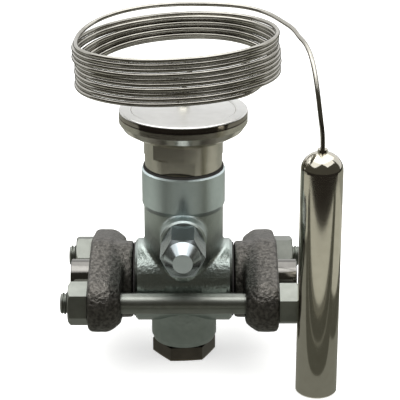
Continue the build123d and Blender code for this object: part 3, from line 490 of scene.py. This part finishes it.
FINISHES = {
    "zinc_steel": zinc_plated_forging(),
    "cast_flange": sand_cast_iron(),
    # Bar steel, turned and zinc plated: satin, mid grey with an olive cast.
    "zinc_fastener": turned_metal("zinc_plated_fastener", "#82857f", "#9da099", 0.36, 0.8, 0.001, "X"),
    # Bar steel, finely turned and bright zinc plated: cool and glossy, with fine rings in its gloss.
    "bright_cap": turned_metal("bright_zinc_cap", "#a9b2b6", "#c0c9cd", 0.24, 0.5, 0.0008, "Y"),
    # Stainless steel, turned: warm grey satin.
    "stainless_turned": turned_metal("turned_stainless", "#bdbaae", "#d5d2c7", 0.24, 0.5, 0.001),
    "stainless_disc": brushed_sheet(),
    # Stainless steel tube, drawn thin: a bright line along its top, dark below.
    "stainless_tube": drawn_metal("drawn_stainless_tube", "#9d9a91", "#bebbb3", 0.15),
    # Stainless steel tube, polished: nearly a mirror, a little yellow.
    "bulb_steel": turned_metal("polished_stainless_bulb", "#c4bfb1", "#d2cec1", 0.10, 1.5, 0.0002),
    # Free-cutting steel, turned and passivated dark: bronze grey satin.
    "dark_plug": turned_metal("dark_passivated_steel", "#4d4842", "#6a645b", 0.30, 0.9, 0.001),
    # Steel tube, drawn bright: neutral grey, dark and light bands along it.
    "socket_steel": drawn_metal("bright_drawn_steel_tube", "#6f6d69", "#85837f", 0.10),
    # Brass, machined, inside the valve: yellow, satin.
    "brass": turned_metal("machined_brass", "#a98a4a", "#c8ab68", 0.28, 0.5, 0.001),
    "gasket_fibre": pressed_fibre(),
    # Spring wire, drawn and oiled: dark grey, a dull shine.
    "spring_steel": drawn_metal("oiled_spring_wire", "#55565a", "#7a7b7f", 0.30),
}
for part in frame["record"]["subparts"]:
    sheet = nodes[part["node"]].data.materials
    sheet.clear()
    sheet.append(FINISHES[part["material_slot"]])

# ---- Helpers for pieces ----
CREASE = radians(30)          # edges sharper than this stay sharp
NO_CREASE = radians(180)
LATHE_SIDES = 128
WELD = 0.001 * MM             # corners nearer than this are one


def finished(name, mesh, node, finish, body="valve", crease=CREASE):
    """Shows that mesh in place of a CAD node."""
    mesh.shade_smooth()
    mesh.set_sharp_from_angle(angle=crease)
    mesh.materials.clear()
    mesh.materials.append(FINISHES[finish])
    piece = bpy.data.objects.new(name, mesh)
    bpy.context.scene.collection.objects.link(piece)
    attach(piece, body)
    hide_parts(node)


def lathed(name, profile, centre, sides=LATHE_SIDES):
    """A closed mesh turned about a vertical axis from (radius, height) points, foot first."""
    form = bmesh.new()
    rings = []
    for radius, height in profile:
        turns = [2 * pi * i / sides for i in range(sides)] if radius else [0.0]
        rings.append([
            form.verts.new((centre[0] + radius * cos(turn), centre[1] + radius * sin(turn), height))
            for turn in turns
        ])
    for lower, upper in zip(rings, rings[1:]):
        for i in range(sides):
            corners = [
                lower[i % len(lower)], lower[(i + 1) % len(lower)],
                upper[(i + 1) % len(upper)], upper[i % len(upper)],
            ]
            form.faces.new(list(dict.fromkeys(corners)))
    bmesh.ops.recalc_face_normals(form, faces=form.faces)
    mesh = bpy.data.meshes.new(name)
    form.to_mesh(mesh)
    form.free()
    return mesh


# ---- Cast flanges: the CAD shape with every edge and hollow rounded by the casting ----
CAST_VOXEL = 0.65 * MM
CAST_SOFTENING = 0.5
CAST_ROUNDS = 40              # rounds of softening: more of them round the edges further
CAST_GRAIN = 1.6 * MM
CAST_RELIEF = 0.28 * MM       # inwards only


def make_cast_flange(side):
    """A copy of the CAD flange in small even faces, softened all over and given a sandy skin."""
    name = f"cast_flange_{side}"
    form = bmesh.new()
    form.from_mesh(nodes[f"flange_{side}"].data)
    bmesh.ops.remove_doubles(form, verts=form.verts, dist=WELD)
    mesh = bpy.data.meshes.new(name)
    form.to_mesh(mesh)
    form.free()
    holder = bpy.data.objects.new(name, mesh)
    bpy.context.scene.collection.objects.link(holder)
    remesh = holder.modifiers.new("even_faces", "REMESH")
    remesh.mode = "VOXEL"
    remesh.voxel_size = CAST_VOXEL
    soften = holder.modifiers.new("cast_edges", "SMOOTH")
    soften.factor = CAST_SOFTENING
    soften.iterations = CAST_ROUNDS
    sand = bpy.data.textures.new(name, "CLOUDS")
    sand.noise_scale = CAST_GRAIN
    rough = holder.modifiers.new("sand_marks", "DISPLACE")
    rough.texture = sand
    rough.mid_level = 1.0
    rough.strength = CAST_RELIEF
    seen = holder.evaluated_get(bpy.context.evaluated_depsgraph_get())
    cast = bpy.data.meshes.new_from_object(seen)
    bpy.data.objects.remove(holder)
    bpy.data.meshes.remove(mesh)
    cast.name = name
    finished(name, cast, f"flange_{side}", "cast_flange", crease=NO_CREASE)


for side in ("left", "right"):
    make_cast_flange(side)

# ---- Top cover and the capillary's ferrule ----
# The photograph shows no ferrule at the cover's centre, so it stands towards the back, behind the coil.
cover_foot, cover_top = box_of("top_cover")
ferrule_foot, ferrule_top = box_of("capillary_ferrule")
COVER_R = cover_top.x
COVER_EDGE = 0.8 * MM         # radius of the rolled edge
COVER_EDGE_STEPS = 6
COVER_STEP_R = 23.2 * MM      # inside this the cover is pressed down
COVER_STEP = 0.35 * MM
LAND = cover_top.z - COVER_STEP   # height of the pressed middle
COVER_GROOVE = 0.25 * MM
FERRULE_Y = 8.0 * MM
FERRULE_R = ferrule_top.x
FERRULE_H = ferrule_top.z - ferrule_foot.z
FERRULE_SIDES = 48
# The braze draws its top in. Points are shares of its radius and height.
FERRULE_PROFILE = ((0, 0), (1, 0), (1, 1 / 3), (0.85, 0.55), (0.5, 1), (0, 1))


def make_cover():
    foot, top = cover_foot.z, cover_top.z
    profile = [(0, foot), (COVER_R - COVER_EDGE / 2, foot), (COVER_R, foot + COVER_EDGE / 2)]
    for step in range(COVER_EDGE_STEPS + 1):
        turn = pi / 2 * step / COVER_EDGE_STEPS
        profile.append((COVER_R - COVER_EDGE * (1 - cos(turn)), top - COVER_EDGE * (1 - sin(turn))))
    profile += [
        (COVER_STEP_R + COVER_STEP, top), (COVER_STEP_R, LAND),
        (COVER_STEP_R - COVER_GROOVE, LAND - COVER_GROOVE), (COVER_STEP_R - 2 * COVER_GROOVE, LAND),
        (0, LAND),
    ]
    finished("top_cover_sheet", lathed("top_cover_sheet", profile, (0, 0)), "top_cover", "stainless_disc")


def make_ferrule():
    profile = [(out * FERRULE_R, LAND + up * FERRULE_H) for out, up in FERRULE_PROFILE]
    mesh = lathed("brazed_ferrule", profile, (0, FERRULE_Y), FERRULE_SIDES)
    finished("brazed_ferrule", mesh, "capillary_ferrule", "stainless_turned")


make_cover()
make_ferrule()

# ---- Flange studs: threaded at both ends, plain between ----
# Sizes are the back stud's, and the front stud is its mirror image.
stud_low, stud_high = box_of("stud_back")
STUD_R = (stud_high.z - stud_low.z) / 2
STUD_HALF = stud_high.x
STUD_Y = stud_high.y - STUD_R
STUD_Z = stud_high.z - STUD_R
STUD_SHANK_R = 4.62 * MM      # rolled threads stand above the plain shank
THREAD_PITCH = 1.5 * MM
THREAD_DEPTH = 0.75 * MM
THREAD_FLATS = 0.15           # of the flanks' height, cut off at crest and root
THREAD_RUN = 24.0 * MM        # threaded length at each end
THREAD_RUNOUT = 1.5 * MM
THREAD_START = 0.7            # angle at which the thread starts, in radians
STUD_CHAMFER = 0.9 * MM
ROWS_PER_PITCH = 9
OUTERMOST = 0.9999            # rows run from -1 to 1, and those beyond this are the outermost
STUD_SIDES = 48
STUD_SIZES = (
    "Half Length", "Radius", "Shank Radius", "Pitch", "Depth", "Thread Run", "Runout", "Chamfer",
    "Centre Y", "Centre Z", "First Angle",
)
STUD_SUMS = (
    # result, operation, and its terms: numbers, sizes, or results from above
    ("along", "MULTIPLY", "column", 2.0),
    # Rows past an end are held on it.
    ("half chamfer", "MULTIPLY", "Chamfer", 0.5),
    ("overreach", "ADD", "Half Length", "half chamfer"),
    ("stretched", "MULTIPLY", "along", "overreach"),
    ("left end", "MULTIPLY", "Half Length", -1.0),
    ("kept right", "MAXIMUM", "stretched", "left end"),
    ("x", "MINIMUM", "kept right", "Half Length"),
    ("off centre", "ABSOLUTE", "x"),
    ("from end", "SUBTRACT", "Half Length", "off centre"),
    ("angle", "MULTIPLY_ADD", "side", -2 * pi, "First Angle"),
    # The thread: a groove to each pitch, with straight flanks between a flat crest and a flat root.
    ("pitches", "DIVIDE", "x", "Pitch"),
    ("turns", "DIVIDE", "angle", 2 * pi),
    ("wound", "ADD", "pitches", "turns"),
    ("saw", "FRACT", "wound"),
    ("centred", "SUBTRACT", "saw", 0.5),
    ("flank", "ABSOLUTE", "centred"),
    ("twice", "MULTIPLY", "flank", 2.0),
    ("groove", "SUBTRACT", 1.0, "twice"),
    ("steep", "MULTIPLY_ADD", "groove", 1 + 2 * THREAD_FLATS, -THREAD_FLATS),
    ("crested", "MAXIMUM", "steep", 0.0),
    ("rooted", "MINIMUM", "crested", 1.0),
    ("sunk", "MULTIPLY", "rooted", "Depth"),
    ("threaded", "SUBTRACT", "Radius", "sunk"),
    # The plain shank, past the thread's runout.
    ("past thread", "SUBTRACT", "from end", "Thread Run"),
    ("into shank", "DIVIDE", "past thread", "Runout"),
    ("started", "MAXIMUM", "into shank", 0.0),
    ("plain", "MINIMUM", "started", 1.0),
    ("change", "SUBTRACT", "Shank Radius", "threaded"),
    ("body", "MULTIPLY_ADD", "plain", "change", "threaded"),
    # The chamfered ends, closed by the outermost rows.
    ("end radius", "SUBTRACT", "Radius", "Chamfer"),
    ("cone", "ADD", "end radius", "from end"),
    ("open", "MINIMUM", "body", "cone"),
    ("row", "ABSOLUTE", "along"),
    ("inner", "LESS_THAN", "row", OUTERMOST),
    ("radius", "MULTIPLY", "open", "inner"),
    ("cosine", "COSINE", "angle"),
    ("sine", "SINE", "angle"),
    ("y", "MULTIPLY_ADD", "radius", "cosine", "Centre Y"),
    ("z", "MULTIPLY_ADD", "radius", "sine", "Centre Z"),
)


def threaded_stud_tree():
    """A tube of rows along X whose radius follows the thread, chamfered and closed at both ends."""
    tree = bpy.data.node_groups.new("threaded_stud", "GeometryNodeTree")
    face = tree.interface
    for size in STUD_SIZES:
        face.new_socket(size, in_out="INPUT", socket_type="NodeSocketFloat")
    face.new_socket("Rows", in_out="INPUT", socket_type="NodeSocketInt")
    face.new_socket("Sides", in_out="INPUT", socket_type="NodeSocketInt")
    face.new_socket("Material", in_out="INPUT", socket_type="NodeSocketMaterial")
    face.new_socket("Stud", in_out="OUTPUT", socket_type="NodeSocketGeometry")
    given = add(tree, "NodeGroupInput").outputs
    grid = add(
        tree, "GeometryNodeMeshGrid",
        {"Size X": 1.0, "Size Y": 1.0, "Vertices X": given["Rows"], "Vertices Y": given["Sides"]},
    )
    position = add(tree, "GeometryNodeInputPosition").outputs[0]
    spot = add(tree, "ShaderNodeSeparateXYZ", {0: position}).outputs
    known = {size: given[size] for size in STUD_SIZES} | {"column": spot["X"], "side": spot["Y"]}
    for result, operation, *terms in STUD_SUMS:
        feeds = {i: known.get(term, term) for i, term in enumerate(terms)}
        known[result] = add(tree, "ShaderNodeMath", feeds, operation=operation).outputs[0]
    place = add(tree, "ShaderNodeCombineXYZ", {"X": known["x"], "Y": known["y"], "Z": known["z"]})
    wrapped = add(
        tree, "GeometryNodeSetPosition", {"Geometry": grid.outputs["Mesh"], "Position": place.outputs[0]},
    )
    merged = add(
        tree, "GeometryNodeMergeByDistance", {"Geometry": wrapped.outputs[0], "Distance": WELD / 2},
    )
    smooth = add(tree, "GeometryNodeSetShadeSmooth", {"Geometry": merged.outputs[0]})
    real = add(tree, "GeometryNodeRealizeInstances", {"Geometry": smooth.outputs[0]})
    plated = add(
        tree, "GeometryNodeSetMaterial", {"Geometry": real.outputs[0], "Material": given["Material"]},
    )
    add(tree, "NodeGroupOutput", {"Stud": plated.outputs[0]})
    return tree


def grown(name, tree, values):
    """An object whose mesh is what the tree makes of these named values."""
    mesh = bpy.data.meshes.new(name)
    piece = bpy.data.objects.new(name, mesh)
    bpy.context.scene.collection.objects.link(piece)
    maker = piece.modifiers.new(name, "NODES")
    maker.node_group = tree
    sockets = {item.name: item.identifier for item in tree.interface.items_tree if item.in_out == "INPUT"}
    for key, value in values.items():
        maker[sockets[key]] = value
    seen = piece.evaluated_get(bpy.context.evaluated_depsgraph_get())
    piece.data = bpy.data.meshes.new_from_object(seen)
    piece.data.name = name
    piece.modifiers.clear()
    bpy.data.meshes.remove(mesh)
    return piece


stud_tree = threaded_stud_tree()
for row, side in (("front", -1), ("back", 1)):
    stud = grown(
        f"threaded_stud_{row}", stud_tree,
        {
            "Half Length": STUD_HALF, "Radius": STUD_R, "Shank Radius": STUD_SHANK_R,
            "Pitch": THREAD_PITCH, "Depth": THREAD_DEPTH, "Thread Run": THREAD_RUN,
            "Runout": THREAD_RUNOUT, "Chamfer": STUD_CHAMFER,
            "Centre Y": side * STUD_Y, "Centre Z": STUD_Z, "First Angle": side * THREAD_START,
            "Rows": round(2 * STUD_HALF / THREAD_PITCH * ROWS_PER_PITCH), "Sides": STUD_SIDES + 1,
            "Material": FINISHES["zinc_fastener"],
        },
    )
    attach(stud, "valve")
    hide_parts(f"stud_{row}")

# ---- Capillary tube: one cord from the cover, through the coil, to the bulb ----
CAPILLARY_D = 2 * MM
CAPILLARY_ORDER = 3           # of its curve: near its control points, yet smooth
CAPILLARY_STEPS = 4           # along the tube between control points
CAPILLARY_ARC = 3             # how finely its section is rounded
LEAD_ROUTE = (
    (0.0, FERRULE_Y, 0.1156), (0.0, FERRULE_Y, 0.1262), (0.0042, 0.0128, 0.1330), (0.0170, 0.0160, 0.1352),
    (0.0320, 0.0060, 0.1352), (0.0366, -0.0118, 0.1345),
)
TAIL_ROUTE = (
    (-0.0463, 0.0077, 0.1477), (-0.0411, 0.0221, 0.1495), (-0.0312, 0.0338, 0.1511),
    (-0.0179, 0.0411, 0.1522), (-0.0040, 0.0438, 0.1527), (0.0115, 0.0437, 0.1527),
    (0.0225, 0.0415, 0.1527), (0.0312, 0.0362, 0.1526), (0.0385, 0.0262, 0.1526),
    (0.0437, 0.0140, 0.1522), (0.0478, 0.0028, 0.1520), (0.0497, -0.0060, 0.1507),
    (0.0518, -0.0140, 0.1503), (0.0537, -0.0240, 0.1478), (0.0550, -0.0325, 0.1420),
    (0.0560, -0.0380, 0.1345), (0.0572, -0.0403, 0.1250), (0.0583, -0.0405, 0.1175),
    (0.0583, -0.0405, 0.1122),
)
COIL_X = -2.8 * MM
COIL_FRONT_FOOT = 132.3 * MM  # first turn's height at the front, and half way along each side
COIL_SIDE_FOOT = 130.4 * MM
COIL_BACK_FOOT = 136.2 * MM   # the turns are pressed closer at the back, in two layers
COIL_R = 44.2 * MM
COIL_BACK_R = 43.2 * MM
COIL_LAYER = 0.76 * MM        # the back's two layers lie this far inside and outside its radius
COIL_PITCH = 2.07 * MM
COIL_BACK_PITCH = 1.38 * MM
COIL_START = -38.0            # degrees, as are the next three sizes
COIL_SWEEP = 3382.0
COIL_STEP = 15.0              # between control points
COIL_BACK = COIL_START + 270  # swept when the winding first passes the middle of the back
COIL_RIGHT_UP = tan(radians(3.3))     # the whole coil is tipped, its right side up
GROUP_TURN = 5.2              # turns in the lower group
GROUP_GAP = 0.05 * MM         # between the lower group and the upper, beside the usual pitch
GROUP_SHIFT = 0.5 * MM        # the lower group lies this far right, the upper as far left
STRAY = (
    # how far the turns stray from round, how fast along the winding, and where it starts
    (0.15 * MM, 2.4, 0.0),
    (0.10 * MM, 1.37 * pi, 0.7),
)


def coil_points():
    """Control points of the wound turns, rising clockwise as seen from above."""
    points = []
    for step in range(int(COIL_SWEEP / COIL_STEP)):
        swept = (step + 0.5) * COIL_STEP
        angle = radians(COIL_START - swept)
        turns = swept / 360
        upper = min(1.0, max(0.0, turns - GROUP_TURN))
        front, back = max(0.0, -sin(angle)), max(0.0, sin(angle))
        pressed = back * back * (3 - 2 * back)
        layer = -1 if round((swept - COIL_BACK) / 360) % 2 else 1
        uneven = sum(reach * sin(rate * turns + start) for reach, rate, start in STRAY)
        radius = COIL_R + (1 - pressed) * uneven
        radius += pressed * (COIL_BACK_R - COIL_R) + layer * COIL_LAYER * sqrt(pressed)
        x = radius * cos(angle) + GROUP_SHIFT * (1 - 2 * upper)
        open_height = COIL_SIDE_FOOT + (COIL_FRONT_FOOT - COIL_SIDE_FOOT) * front + COIL_PITCH * turns
        open_height += GROUP_GAP * upper
        back_height = COIL_BACK_FOOT + COIL_BACK_PITCH * turns
        height = open_height + pressed * (back_height - open_height)
        points.append((COIL_X + x, radius * sin(angle), height + COIL_RIGHT_UP * x))
    return points


def make_capillary():
    """The whole tube as one smooth curve; the bulb on its far end stays the CAD's own node."""
    curve = bpy.data.curves.new("capillary_tube", "CURVE")
    curve.dimensions = "3D"
    curve.resolution_u = CAPILLARY_STEPS
    curve.bevel_depth = CAPILLARY_D / 2
    curve.bevel_resolution = CAPILLARY_ARC
    curve.use_fill_caps = True
    spline = curve.splines.new("NURBS")
    route = [*LEAD_ROUTE, *coil_points(), *TAIL_ROUTE]
    spline.points.add(len(route) - 1)
    for place, point in zip(spline.points, route):
        place.co = (*point, 1.0)
    spline.order_u = CAPILLARY_ORDER
    spline.use_endpoint_u = True
    curve.materials.append(FINISHES["stainless_tube"])
    tube = bpy.data.objects.new("capillary_tube", curve)
    bpy.context.scene.collection.objects.link(tube)
    return tube


capillary = make_capillary()
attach(capillary, "valve")
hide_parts("capillary_lead", "capillary_coil", "capillary_tail")
